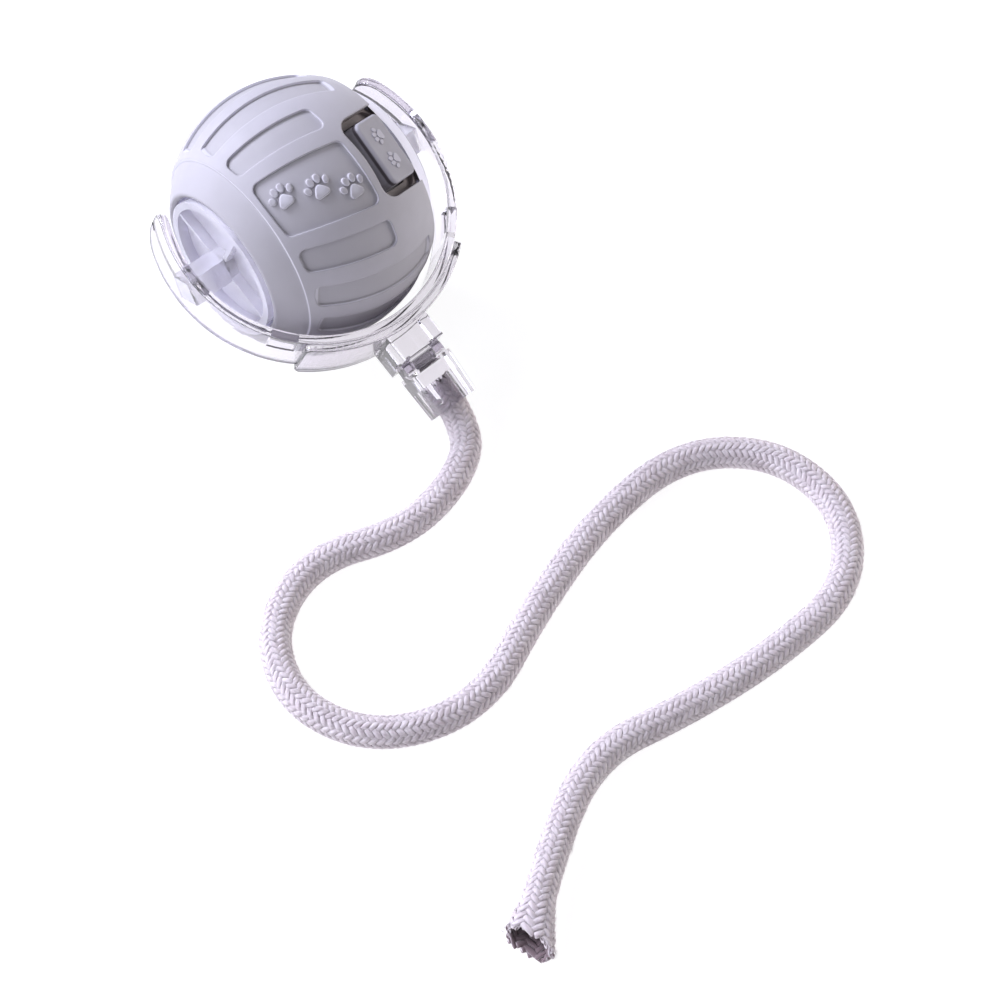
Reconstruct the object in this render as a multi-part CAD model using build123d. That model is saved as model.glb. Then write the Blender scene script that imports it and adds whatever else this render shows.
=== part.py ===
from build123d import *
import math
import os

os.makedirs("parts", exist_ok=True)

# A self rolling ball for cats, in millimetres. The ball turns about X, its rope
# tail leaves toward -Y, +Z is up and the origin is on the floor under the ball.
# All but the rope is drawn about the ball's centre and lifted onto the floor.

# Silicone sleeve; places along the spin axis are shares of the ball's radius
ball_radius = 22.5
sleeve_thickness = 1.6
sleeve_near_share = -0.6
sleeve_far_share = 0.631
band_drop = 0.4
pole_opening_share = 0.565
sleeve_rim_round = 0.7
sleeve_far_round = 0.9

# Sunk panels of the sleeve, as angles about X from the tail side upward
panel_depth = 0.5
panel_near_share = -0.551
panel_far_share = 0.493
short_panel_far_share = 0.151
panel_corner_round = 1.3
panel_slant_deg = 12.4
wide_panel_deg = 57.5
wide_panel_half_deg = 15.7
narrow_panel_half_deg = 6.3
narrow_first_deg = 30.0
narrow_panel_count = 15

# Raised paw prints on the wide panel
paw_height = 0.45
paw_width = 4.9
paw_pad_round = 0.22
paw_lean_deg = 2.6
paw_x_share = (-0.436, -0.201, 0.02)
paw_turn_deg = (66.0, 60.0, 52.1)
toe_share = ((-0.36, 0.08, 0.105, 0.145, 24.0), (-0.13, 0.27, 0.115, 0.160, 7.0),
             (0.13, 0.27, 0.115, 0.160, -7.0), (0.36, 0.08, 0.105, 0.145, -24.0))
palm_share = ((-0.135, -0.235, 0.135), (0.135, -0.235, 0.135), (0.0, -0.075, 0.155))

# Hard shell in two halves
shell_wall = 1.6
pole_wall = 1.4
pole_wall_x = 13.2
pole_lip = 1.3
far_cap_rise = 0.7
tongue_length = 1.2
tongue_wall = 0.7
bush_boss_radius = 4.0
bush_radius = 2.5
bush_length = 2.6
column_radius = 2.6
column_offset = 14.5
column_turn_deg = (120.0, 20.0, -40.0)

# Shell screws
screw_radius = 1.0
screw_head_radius = 1.7
screw_head_height = 1.5
screw_head_x = -11.1
screw_tip_x = 8.0
screw_socket_sides = 6
screw_socket_radius = 0.8
screw_socket_depth = 0.8

# Power key, its window in the sleeve and its well in the shell
key_turn_deg = 58.0
key_tilt_deg = 29.0
key_length = 11.6
key_width = 7.0
key_recess = 0.7
key_corner_round = 1.2
key_top_round = 0.5
key_travel = 0.6
key_flange_margin = 1.0
key_flange_thickness = 0.7
key_stem_radius = 1.5
key_stem_length = 0.4
key_gap = 0.3
window_side_gap = 1.7
window_near_gap = 2.7
window_round = 2.8
well_margin = 1.2
well_depth = 3.2
well_floor_thickness = 1.2
well_rim = 1.2

# Two small paws raised on the key's top
key_mark_width = 3.2
key_mark_height = 0.18
key_mark_share = (-0.2, 0.2)

# Switch under the key
switch_side = 4.5
switch_height = 2.2
plunger_radius = 1.2
plunger_length = 1.5
plunger_rise = 0.7
board_thickness = 1.0
switch_board_length = 10.0
switch_board_width = 5.8
switch_post_length = 6.0
switch_post_width = 2.4
switch_post_height = 3.3
led_length = 2.0
led_width = 1.25
led_height = 0.8

# Chassis plate, battery shelf and motor cradle
plate_x = 1.6
plate_thickness = 1.4
plate_gap = 0.35
axle_hole_radius = 2.1
shelf_near_x = -10.4
shelf_half_width = 7.0
shelf_thickness = 1.1
cradle_wall = 1.2
post_side = 1.6
post_x = -9.6
post_y = 5.2

# Motor, gears and axle
motor_radius = 3.5
motor_length = 12.0
motor_boss_radius = 1.2
motor_shaft_radius = 0.5
motor_shaft_end_x = 7.0
motor_shaft_inside = 5.6
motor_tab_width = 1.2
motor_tab_length = 1.6
motor_tab_thickness = 0.4
gear_module = 0.4
pinion_teeth = 10
wheel_teeth = 30
small_teeth = 12
output_teeth = 36
gear_x = 4.9
gear_thickness = 2.0
gear_gap = 0.3
pressure_deg = 20.0
tooth_width_share = 0.9
tooth_tip_share = 0.9
tooth_root_share = 1.2
gear_hub_radius = 2.6
gear_hub_length = 1.8
gear_pin_radius = 0.75
gear_pin_end_x = 11.4
gear_pin_boss_radius = 2.0
axle_radius = 1.5
axle_end_x = 17.0
running_clearance = 0.04

# Battery and main board
battery_near_x = -10.9
battery_far_x = 1.2
battery_half_width = 6.0
battery_height = 4.1
battery_round = 0.9
board_near_x = -11.0
board_front_y = -8.0
board_back_y = 14.0
board_z = 3.2

# USB-C socket, its hole in the shell and its slot in the sleeve
usb_x = -3.0
usb_width = 8.94
usb_height = 3.2
usb_depth = 7.3
usb_mouth_y = 18.0
usb_round = 1.3
usb_wall = 0.35
usb_tongue_width = 6.7
usb_tongue_thickness = 0.7
usb_tongue_length = 5.4
usb_back_wall = 1.0
usb_hole_gap = 0.2
usb_slot_gap = 0.9
usb_land_margin = 1.8

# Clear drive hubs in the pole openings
hub_gap = 0.45
hub_face_x = 17.8
hub_floor_x = 15.9
hub_back_x = 15.0
hub_rim_wall = 1.3
hub_rib = 0.8
hub_rib_drop = 0.15
boss_side = 4.5
boss_end_drop = 0.25

# Clear yoke round the ball; its plane droops toward the tail
tail_droop_deg = 23.5
yoke_gap = 1.4
yoke_thickness = 1.6
yoke_width = 11.0
yoke_half_deg = 120.0
yoke_tip_round = 3.6
yoke_edge_round = 0.4
slit_width = 1.0
snap_deg = 48.0
snap_length = 4.6
snap_low = 0.6
snap_high = 4.2

# Bracket over the front of the yoke, with the hinge of the tail
bracket_thickness = 1.3
bracket_half_deg = 40.0
bracket_edge_round = 0.35
neck_width = 8.6
neck_thickness = 9.4
neck_length = 4.4
neck_edge_round = 0.6
hinge_gap = 1.0
hinge_pin_radius = 0.7
knuckle_radius = 1.5
knuckle_width = 4.2
knuckle_gap = 0.15
cheek_width = 1.85

# Tail holder, hanging a little lower than the yoke's plane
holder_sag_deg = 6.0
holder_length = 8.2
holder_top_width = 8.2
holder_top_thickness = 7.4
holder_end_width = 7.6
holder_end_thickness = 7.0
holder_edge_round = 0.9
rope_socket_depth = 5.2

# Rope tail, lying on the floor. Points are chosen by hand and follow the rope.
rope_radius = 2.7
rope_route = (
    (-8.5, -48.0), (-22.0, -50.0), (-36.5, -43.5), (-50.5, -49.0),
    (-56.5, -62.5), (-50.5, -76.5), (-34.5, -82.5), (-16.5, -75.0), (3.0, -69.5),
    (22.0, -69.0), (34.0, -79.5), (34.5, -95.0), (23.5, -106.5), (5.5, -107.0),
    (-12.0, -104.5), (-27.5, -100.5), (-43.5, -107.5), (-58.0, -117.5),
)
run_share = 0.45

overrun = 3.0
match_gap = 0.02
quarter_turn = 90.0
half_turn = 180.0
full_turn = 360.0

# Sizes that follow from those above
shell_radius = ball_radius - sleeve_thickness
shell_inner_radius = shell_radius - shell_wall
sleeve_near_x = sleeve_near_share * ball_radius
sleeve_far_x = sleeve_far_share * ball_radius
pole_opening_radius = pole_opening_share * ball_radius
panel_near_x = panel_near_share * ball_radius
panel_far_x = panel_far_share * ball_radius
short_panel_far_x = short_panel_far_share * ball_radius
key_top_radius = ball_radius - key_recess
well_floor_radius = key_top_radius - well_depth
band_radius = ball_radius - band_drop
panel_floor_radius = ball_radius - panel_depth
far_cap_radius = shell_radius + far_cap_rise
pole_face_x = pole_wall_x + pole_wall
plate_far_x = plate_x + plate_thickness
wheel_radius = gear_module * wheel_teeth / 2
gear_spacing = gear_module * (pinion_teeth + wheel_teeth) / 2
output_spacing = gear_module * (small_teeth + output_teeth) / 2
motor_y = 0
motor_z = -math.sqrt(output_spacing ** 2 - gear_spacing ** 2)
wheel_y = motor_y + gear_spacing
wheel_z = motor_z
output_x = gear_x + gear_thickness + gear_gap
shelf_top_z = motor_z - motor_radius
shelf_z = shelf_top_z - shelf_thickness
usb_z = board_z + board_thickness + usb_height / 2
well_bottom_radius = well_floor_radius - well_floor_thickness
flange_top_radius = well_bottom_radius - running_clearance
flange_radius = flange_top_radius - key_flange_thickness
stem_radius = flange_radius - key_stem_length
switch_top_radius = stem_radius - plunger_rise
switch_base_radius = switch_top_radius - switch_height
hub_radius = pole_opening_radius - hub_gap
yoke_inner = ball_radius + yoke_gap
yoke_outer = yoke_inner + yoke_thickness
boss_end_x = yoke_outer - boss_end_drop
bracket_outer = yoke_outer + bracket_thickness
neck_end = bracket_outer + neck_length
hinge_offset = neck_end + hinge_gap
holder_start = hinge_offset + hinge_gap
holder_end = holder_start + holder_length
rope_socket_bottom = holder_end - rope_socket_depth
droop = Rot(tail_droop_deg, 0, 0)
sag = Pos(0, -hinge_offset, 0) * Rot(holder_sag_deg, 0, 0) * Pos(0, hinge_offset, 0)
lift = Pos(0, 0, ball_radius)


def globe(radius):
    """A ball about the centre, with the ends of its seam on the spin axis."""
    return Rot(0, quarter_turn, 0) * Sphere(radius)


def rod(radius, x_start, x_end, y=0, z=0):
    """A round bar along the spin axis, from one x to another."""
    return Plane.YZ * Pos(y, z, (x_start + x_end) / 2) * Cylinder(radius, x_end - x_start)


def block(x, y, z):
    """A box between a low and a high value on each axis."""
    middle = Pos((x[0] + x[1]) / 2, (y[0] + y[1]) / 2, (z[0] + z[1]) / 2)
    return middle * Box(x[1] - x[0], y[1] - y[0], z[1] - z[0])


def slab(x_start, x_end):
    """The space between two planes across the spin axis."""
    reach = ball_radius + overrun
    return block((x_start, x_end), (-reach, reach), (-reach, reach))


def around(offset, turn_deg):
    """The y and z of a point at some distance from the spin axis."""
    turn = math.radians(turn_deg)
    return -offset * math.cos(turn), offset * math.sin(turn)


def direction(x, turn_deg):
    """The direction, from the centre, of a place on the ball's surface."""
    rise = math.asin(x / ball_radius)
    y, z = around(math.cos(rise), turn_deg)
    return Vector(math.sin(rise), y, z)


def outward_plane(normal):
    """A plane through the centre facing a place, with its x toward the far pole."""
    along = Vector(1, 0, 0) - normal * normal.X
    return Plane(origin=(0, 0, 0), x_dir=along, z_dir=normal)


def circles_at(solid, x, radius):
    """The round edges about the spin axis at one x and radius."""
    found = ShapeList()
    for edge in solid.edges().filter_by(GeomType.CIRCLE):
        if abs(edge.arc_center.X - x) < match_gap and abs(edge.radius - radius) < match_gap:
            found.append(edge)
    return found


def radial_prism(corners, corner_round, inner, outer):
    """A block with radial sides through places of the surface given as (x, turn)."""
    rays = [direction(x, turn_deg) for x, turn_deg in corners]
    middle = Vector(0, 0, 0)
    for ray in rays:
        middle = middle + ray
    plane = outward_plane(middle.normalized())
    sections = []
    for height in (inner, outer):
        points = []
        for ray in rays:
            place = plane.to_local_coords(ray * (height / ray.dot(plane.z_dir)))
            points.append((place.X, place.Y))
        outline = make_face(Polyline(*points, close=True))
        outline = fillet(outline.vertices(), corner_round * height / ball_radius)
        sections.append(plane * Pos(0, 0, height) * outline)
    return loft(sections, ruled=True)


def slanted_turn(turn_deg, x):
    """Panels lean, so their turn about the axis falls as x grows."""
    return turn_deg - panel_slant_deg * x / ball_radius


def panel_cutter(turn_deg, half_deg, far_x):
    """What a panel takes away from the sleeve."""
    corners = []
    for x, side in ((panel_near_x, -1), (far_x, -1), (far_x, 1), (panel_near_x, 1)):
        corners.append((x, slanted_turn(turn_deg + side * half_deg, x)))
    inner = panel_floor_radius - overrun
    prism = radial_prism(corners, panel_corner_round, inner, ball_radius + overrun)
    return prism - globe(panel_floor_radius)


def panel_cutters():
    """One wide panel, with short ones beside it and long ones round the rest."""
    cutters = [panel_cutter(wide_panel_deg, wide_panel_half_deg, short_panel_far_x)]
    first = wide_panel_deg + narrow_first_deg
    pitch = (full_turn - 2 * narrow_first_deg) / (narrow_panel_count - 1)
    for index in range(narrow_panel_count):
        beside = index in (0, narrow_panel_count - 1)
        far_x = short_panel_far_x if beside else panel_far_x
        cutters.append(panel_cutter(first + pitch * index, narrow_panel_half_deg, far_x))
    return cutters


def paw_outlines(width):
    """Four toes and a palm, drawn flat with the toes toward +Y."""
    outlines = []
    for across, up, short, long, lean_deg in toe_share:
        toe = Rot(0, 0, lean_deg) * Ellipse(short * width, long * width)
        outlines.append(Pos(across * width, up * width) * toe)
    lobes = [Pos(a * width, u * width) * Circle(r * width) for a, u, r in palm_share]
    outlines.append(make_hull(ShapeList(e for lobe in lobes for e in lobe.edges())))
    return outlines


def paw_print(x, turn_deg):
    """A raised paw on the floor of the wide panel."""
    plane = outward_plane(direction(x, turn_deg))
    root = panel_floor_radius - panel_depth
    rise = panel_depth + paw_height
    pads = []
    for outline in paw_outlines(paw_width):
        pad = extrude(outline, rise)
        pad = fillet(pad.edges().group_by(Axis.Z)[-1], paw_pad_round)
        pads.append(plane * Pos(0, 0, root) * Rot(0, 0, paw_lean_deg) * pad)
    return pads


def key_plane():
    """A plane through the centre facing the power key, x toward the far pole."""
    tilt = math.radians(key_tilt_deg)
    y, z = around(math.cos(tilt), key_turn_deg)
    return outward_plane(Vector(math.sin(tilt), y, z))


def key_prism(x, half_y, low, high, corner_round):
    """A rounded block along the key's own direction."""
    middle = (x[0] + x[1]) / 2
    outline = Pos(middle, 0) * RectangleRounded(x[1] - x[0], 2 * half_y, corner_round)
    return key_plane() * Pos(0, 0, low) * extrude(outline, high - low)


def usb_prism(gap, y_start, y_end):
    """The stadium section of the USB-C socket, drawn out along Y."""
    outline = RectangleRounded(usb_width + 2 * gap, usb_height + 2 * gap, usb_round + gap)
    plane = Plane(origin=(usb_x, y_start, usb_z), x_dir=(1, 0, 0), z_dir=(0, 1, 0))
    return plane * extrude(outline, y_end - y_start)


def make_sleeve():
    """The silicone sleeve, with its panels, paws, key window and USB slot."""
    sleeve = globe(ball_radius) & slab(sleeve_near_x, sleeve_far_x)
    sleeve += globe(band_radius) & slab(-ball_radius, sleeve_near_x)
    sleeve -= globe(shell_radius)
    sleeve -= rod(pole_opening_radius, -ball_radius - overrun, 0)
    rim_x = -math.sqrt(band_radius ** 2 - pole_opening_radius ** 2)
    sleeve = fillet(circles_at(sleeve, rim_x, pole_opening_radius), sleeve_rim_round)
    far_radius = math.sqrt(ball_radius ** 2 - sleeve_far_x ** 2)
    sleeve = fillet(circles_at(sleeve, sleeve_far_x, far_radius), sleeve_far_round)
    land_x = usb_width / 2 + usb_slot_gap + usb_land_margin
    land_z = usb_height / 2 + usb_slot_gap + usb_land_margin
    land = block((usb_x - land_x, usb_x + land_x), (0, ball_radius + 2 * overrun),
                 (usb_z - land_z, usb_z + land_z))
    sleeve -= [cutter - land for cutter in panel_cutters()]
    for share, turn_deg in zip(paw_x_share, paw_turn_deg):
        sleeve += paw_print(share * ball_radius, turn_deg)
    near = -key_width / 2 - window_near_gap
    window = (near, ball_radius)
    half = key_length / 2 + window_side_gap
    sleeve -= key_prism(window, half, shell_inner_radius - overrun, ball_radius + overrun,
                        window_round)
    sleeve -= usb_prism(usb_slot_gap, usb_mouth_y - usb_depth, ball_radius + overrun)
    return sleeve


def column_places():
    """Where the three shell screws pass."""
    return [around(column_offset, turn_deg) for turn_deg in column_turn_deg]


def shell_half(side, outer):
    """One half of the hard shell with its pole wall, lip and bearing boss."""
    far = side * shell_radius
    half = slab(min(0, far), max(0, far))
    skin = (outer & half) - globe(shell_inner_radius)
    inner_x = side * pole_wall_x
    face_x = side * pole_face_x
    wall = slab(min(inner_x, face_x), max(inner_x, face_x)) & outer
    lip = rod(pole_opening_radius + pole_lip, min(inner_x, far), max(inner_x, far)) & outer
    boss_x = side * (pole_face_x - bush_length)
    boss = rod(bush_boss_radius, min(boss_x, face_x), max(boss_x, face_x))
    shell = skin + wall + lip + boss
    out_x = side * (ball_radius + overrun)
    shell -= rod(pole_opening_radius, min(face_x, out_x), max(face_x, out_x))
    shell -= rod(bush_radius, min(boss_x, out_x), max(boss_x, out_x))
    return shell


def make_shell_near():
    """The near half, with screw columns, counterbores and the joint's tongue."""
    shell = shell_half(-1, globe(shell_radius))
    tongue = globe(shell_inner_radius + tongue_wall) & slab(0, tongue_length)
    shell += tongue - globe(shell_inner_radius)
    for y, z in column_places():
        column = rod(column_radius, -shell_radius, plate_x, y, z) & globe(shell_radius)
        shell += column - rod(pole_opening_radius, -shell_radius, -pole_face_x)
    seat_x = screw_head_x + screw_head_height
    for y, z in column_places():
        shell -= rod(screw_radius + running_clearance, seat_x - overrun, plate_x + overrun, y, z)
        shell -= rod(screw_head_radius + running_clearance, -ball_radius, seat_x, y, z)
    return shell - usb_prism(usb_hole_gap, usb_mouth_y - usb_depth, ball_radius)


def make_shell_far():
    """The far half, with the key's well, screw columns and the gear pin's boss."""
    cap = globe(far_cap_radius) & slab(sleeve_far_x, ball_radius)
    shell = shell_half(1, globe(shell_radius) + cap)
    half_x = key_width / 2 + key_gap
    half_y = key_length / 2 + key_gap
    rim = well_margin + well_rim
    floor = key_prism((-half_x - rim, half_x + rim), half_y + rim, well_bottom_radius,
                      ball_radius, key_corner_round + rim)
    shell += floor & globe(shell_radius)
    shell -= key_prism((-half_x - well_margin, half_x + well_margin), half_y + well_margin,
                       well_floor_radius, ball_radius + overrun, key_corner_round + well_margin)
    shell -= key_prism((-half_x, half_x), half_y, well_bottom_radius - overrun,
                       ball_radius + overrun, key_corner_round + key_gap)
    recess = globe(shell_inner_radius + tongue_wall) & slab(0, tongue_length)
    shell -= recess
    for y, z in column_places():
        shell += rod(column_radius, plate_far_x, pole_wall_x, y, z) & globe(shell_radius)
        shell -= rod(screw_radius, plate_far_x - overrun, screw_tip_x, y, z)
    pin_boss_x = output_x + gear_thickness + gear_gap
    shell += rod(gear_pin_boss_radius, pin_boss_x, pole_wall_x, wheel_y, wheel_z)
    shell -= rod(gear_pin_radius, pin_boss_x - overrun, gear_pin_end_x, wheel_y, wheel_z)
    return shell - usb_prism(usb_hole_gap, usb_mouth_y - usb_depth, ball_radius)


def make_shell_screws():
    """Three screws that draw the two halves onto the chassis plate."""
    screws = []
    head_end_x = screw_head_x + screw_head_height
    for y, z in column_places():
        screw = rod(screw_radius, head_end_x, screw_tip_x, y, z)
        screw += rod(screw_head_radius, screw_head_x, head_end_x, y, z)
        socket = Plane.YZ * Pos(y, z, screw_head_x) * extrude(
            RegularPolygon(screw_socket_radius, screw_socket_sides), screw_socket_depth)
        screws.append(screw - socket)
    return Compound(screws)


def make_axle_bushes():
    """Two plain bearings for the axle, one in each pole wall."""
    bushes = []
    for side in (-1, 1):
        ends = (side * (pole_face_x - bush_length), side * pole_face_x)
        bush = rod(bush_radius, min(ends), max(ends))
        bushes.append(bush - rod(axle_radius + running_clearance, min(ends), max(ends)))
    return Compound(bushes)


def make_chassis():
    """The plate that carries the gears, with the motor's cradle and two posts."""
    radius = math.sqrt(shell_inner_radius ** 2 - plate_far_x ** 2) - plate_gap
    chassis = rod(radius, plate_x, plate_far_x)
    half = shelf_half_width
    chassis += block((shelf_near_x, plate_x), (-half, half), (shelf_z, shelf_top_z))
    wall = motor_radius + cradle_wall
    chassis += block((shelf_near_x, plate_x), (-wall, wall), (shelf_z, motor_z))
    for side in (-1, 1):
        y = sorted((side * post_y, side * (post_y + post_side)))
        chassis += block((post_x, post_x + post_side), y, (shelf_z, board_z))
    post = switch_post_height
    base = switch_base_radius - board_thickness
    chassis += key_plane() * block(
        (-switch_board_width / 2, -switch_board_width / 2 + switch_post_width),
        (-switch_post_length / 2, switch_post_length / 2), (base - post, base))
    chassis -= rod(axle_hole_radius, shelf_near_x, plate_far_x)
    chassis -= rod(motor_radius, shelf_near_x - overrun, plate_x, motor_y, motor_z)
    chassis -= rod(motor_boss_radius, plate_x - overrun, plate_far_x, motor_y, motor_z)
    chassis -= rod(gear_pin_radius, plate_x, plate_far_x, wheel_y, wheel_z)
    for y, z in column_places():
        chassis -= rod(screw_radius + running_clearance, plate_x, plate_far_x, y, z)
    return chassis


def make_battery():
    """A flat lithium cell stuck under the shelf."""
    cell = block((battery_near_x, battery_far_x), (-battery_half_width, battery_half_width),
                 (shelf_z - battery_height, shelf_z))
    return fillet(cell.edges().filter_by(Axis.X), battery_round)


def make_main_board():
    """The main circuit board, resting on the two posts."""
    return block((board_near_x, plate_x), (board_front_y, board_back_y),
                 (board_z, board_z + board_thickness))


def make_usb_socket():
    """A USB-C socket: a thin stadium tube, closed at the back, with its tongue."""
    back_y = usb_mouth_y - usb_depth
    socket = usb_prism(0, back_y, usb_mouth_y)
    socket -= usb_prism(-usb_wall, back_y + usb_back_wall, usb_mouth_y + overrun)
    half = usb_tongue_width / 2
    level = usb_tongue_thickness / 2
    return socket + block((usb_x - half, usb_x + half), (back_y, back_y + usb_tongue_length),
                          (usb_z - level, usb_z + level))


def make_power_key():
    """The pushed key: a flat topped block, its flange and its stem."""
    half_x = key_width / 2
    half_y = key_length / 2
    outline = RectangleRounded(key_width, key_length, key_corner_round)
    key = extrude(outline, key_top_radius - flange_radius)
    key = fillet(key.edges().group_by(Axis.Z)[-1], key_top_round)
    flange = RectangleRounded(key_width + 2 * key_flange_margin,
                              key_length + 2 * key_flange_margin,
                              key_corner_round + key_flange_margin)
    key += extrude(flange, key_flange_thickness)
    key += Pos(0, 0, -key_stem_length / 2) * Cylinder(key_stem_radius, key_stem_length)
    top = key_top_radius - flange_radius
    for share in key_mark_share:
        root = top - key_mark_height
        place = Pos(0, share * key_length, root) * Rot(0, 0, quarter_turn)
        for outline in paw_outlines(key_mark_width):
            key += place * extrude(outline, 2 * key_mark_height)
    return key_plane() * Pos(0, 0, flange_radius) * key


def make_switch_plunger():
    """The switch's own plunger, which the key's stem bears on."""
    length = plunger_length
    return key_plane() * Pos(0, 0, stem_radius - length / 2) * Cylinder(plunger_radius, length)


def make_tact_switch():
    """The push switch's body, bored for its plunger."""
    body = Pos(0, 0, switch_base_radius + switch_height / 2) * Box(
        switch_side, switch_side, switch_height)
    depth = stem_radius - plunger_length - key_travel - running_clearance
    bore = Pos(0, 0, (depth + ball_radius) / 2) * Cylinder(
        plunger_radius + running_clearance, ball_radius - depth)
    return key_plane() * (body - bore)


def make_switch_board():
    """The small board square to the key's travel."""
    return key_plane() * Pos(0, 0, switch_base_radius - board_thickness / 2) * Box(
        switch_board_width, switch_board_length, board_thickness)


def make_status_led():
    """The indicator lamp beside the switch."""
    offset = (switch_side / 2 + switch_board_length / 2) / 2
    return key_plane() * Pos(0, offset, switch_base_radius + led_height / 2) * Box(
        led_length, led_width, led_height)


def make_motor():
    """A small round motor lying in its cradle, with two solder tabs."""
    back_x = plate_x - motor_length
    motor = rod(motor_radius, back_x, plate_x, motor_y, motor_z)
    motor += rod(motor_boss_radius, plate_x, plate_far_x, motor_y, motor_z)
    for side in (-1, 1):
        z = motor_z + side * motor_radius / 2
        motor += block((back_x - motor_tab_length, back_x),
                       (motor_y - motor_tab_width / 2, motor_y + motor_tab_width / 2),
                       (z - motor_tab_thickness / 2, z + motor_tab_thickness / 2))
    bore = motor_shaft_radius + running_clearance
    deep_x = plate_x - motor_shaft_inside - running_clearance
    return motor - rod(bore, deep_x, plate_far_x + overrun, motor_y, motor_z)


def gear(teeth, phase_deg, thickness):
    """A spur gear with straight flanked teeth, its middle tooth at a phase."""
    pitch_radius = gear_module * teeth / 2
    flank = math.tan(math.radians(pressure_deg))
    tooth = tooth_width_share * math.pi * gear_module / 4
    tip = pitch_radius + tooth_tip_share * gear_module
    root = pitch_radius - tooth_root_share * gear_module
    points = []
    for index in range(teeth):
        middle = phase_deg + full_turn * index / teeth
        for radius, side in ((root, -1), (tip, -1), (tip, 1), (root, 1)):
            half = (tooth + (pitch_radius - radius) * flank) / radius
            turn = math.radians(middle) + side * half
            points.append((radius * math.cos(turn), radius * math.sin(turn)))
    return extrude(make_face(Polyline(*points, close=True)), thickness)


def make_motor_pinion():
    """The motor's shaft and the pinion pressed on it."""
    shaft = rod(motor_shaft_radius, plate_x - motor_shaft_inside, motor_shaft_end_x,
                motor_y, motor_z)
    return shaft + Plane.YZ * Pos(motor_y, motor_z, gear_x) * gear(pinion_teeth, 0, gear_thickness)


def make_compound_gear():
    """The idler: a large wheel and a small one moulded together."""
    turn_deg = math.degrees(math.atan2(-wheel_z, -wheel_y))
    place = Plane.YZ * Pos(wheel_y, wheel_z, gear_x)
    wheel = place * gear(wheel_teeth, half_turn + half_turn / wheel_teeth, gear_thickness)
    small = place * Pos(0, 0, gear_thickness) * gear(
        small_teeth, turn_deg + half_turn / small_teeth, gear_thickness + gear_gap)
    bore = gear_pin_radius + running_clearance
    return wheel + small - rod(bore, gear_x - overrun, gear_pin_end_x, wheel_y, wheel_z)


def make_gear_pin():
    """The fixed pin that the idler turns on."""
    return rod(gear_pin_radius, plate_x, gear_pin_end_x, wheel_y, wheel_z)


def make_output_gear():
    """The large gear fixed on the axle."""
    turn_deg = math.degrees(math.atan2(wheel_z, wheel_y))
    wheel = Plane.YZ * Pos(0, 0, output_x) * gear(output_teeth, turn_deg, gear_thickness)
    hub_x = output_x + gear_thickness
    wheel += rod(gear_hub_radius, hub_x, hub_x + gear_hub_length)
    return wheel - rod(axle_radius, output_x - overrun, hub_x + gear_hub_length + overrun)


def make_axle():
    """The axle, whose ends are pressed into blind holes of the hubs."""
    return rod(axle_radius, -axle_end_x, axle_end_x)


def make_hub(side):
    """A clear dish with four ribs, whose square boss drives one arm of the yoke."""
    def bar(radius, start, end):
        return rod(radius, min(side * start, side * end), max(side * start, side * end))

    hub = bar(hub_radius, hub_back_x, hub_face_x)
    hub -= bar(hub_radius - hub_rim_wall, hub_floor_x, hub_face_x + overrun)
    reach = hub_radius - hub_rim_wall / 2
    rib_x = sorted((side * hub_floor_x, side * (hub_face_x - hub_rib_drop)))
    hub += droop * block(rib_x, (-reach, reach), (-hub_rib / 2, hub_rib / 2))
    hub += droop * block(rib_x, (-hub_rib / 2, hub_rib / 2), (-reach, reach))
    boss_x = sorted((side * hub_floor_x, side * boss_end_x))
    half = boss_side / 2
    diamond = Rot(quarter_turn / 2, 0, 0) * block(boss_x, (-half, half), (-half, half))
    hub += droop * diamond
    hub = hub - bar(axle_radius, hub_back_x - overrun, axle_end_x)
    return hub


def ring_sector(inner, outer, width, half_deg):
    """Part of a flat ring about Z, centred on the tail's direction."""
    profile = Plane.XZ * Pos((inner + outer) / 2, 0) * Rectangle(outer - inner, width)
    sector = revolve(profile, axis=Axis.Z, revolution_arc=2 * half_deg)
    return Rot(0, 0, -quarter_turn - half_deg) * sector


def rounded_sector(inner, outer, width, half_deg, tip_round, edge_round):
    """A ring sector with rounded tips and softened edges."""
    sector = ring_sector(inner, outer, width, half_deg)
    tips = ShapeList()
    for edge in sector.edges().filter_by(GeomType.LINE):
        if abs(edge.length - (outer - inner)) < match_gap:
            tips.append(edge)
    sector = fillet(tips, tip_round)
    rims = ShapeList()
    for face in sector.faces().filter_by(GeomType.CYLINDER):
        if abs(face.radius - outer) < match_gap or abs(face.radius - inner) < match_gap:
            rims.extend(face.edges())
    return fillet(rims, edge_round)


def make_yoke():
    """The clear C round the ball: sockets at the poles, split ends, snap windows."""
    yoke = rounded_sector(yoke_inner, yoke_outer, yoke_width, yoke_half_deg,
                          yoke_tip_round, yoke_edge_round)
    reach = yoke_outer + overrun
    half = boss_side / 2
    bar = Rot(quarter_turn / 2, 0, 0) * block((-reach, reach), (-half, half), (-half, half))
    yoke -= bar
    yoke -= block((-reach, reach), (0, reach), (-slit_width / 2, slit_width / 2))
    for side in (-1, 1):
        slot = block((-snap_length / 2, snap_length / 2), (-reach, -yoke_inner + overrun),
                     (snap_low, snap_high))
        yoke -= Rot(0, 0, side * snap_deg) * slot
    return droop * yoke


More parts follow.
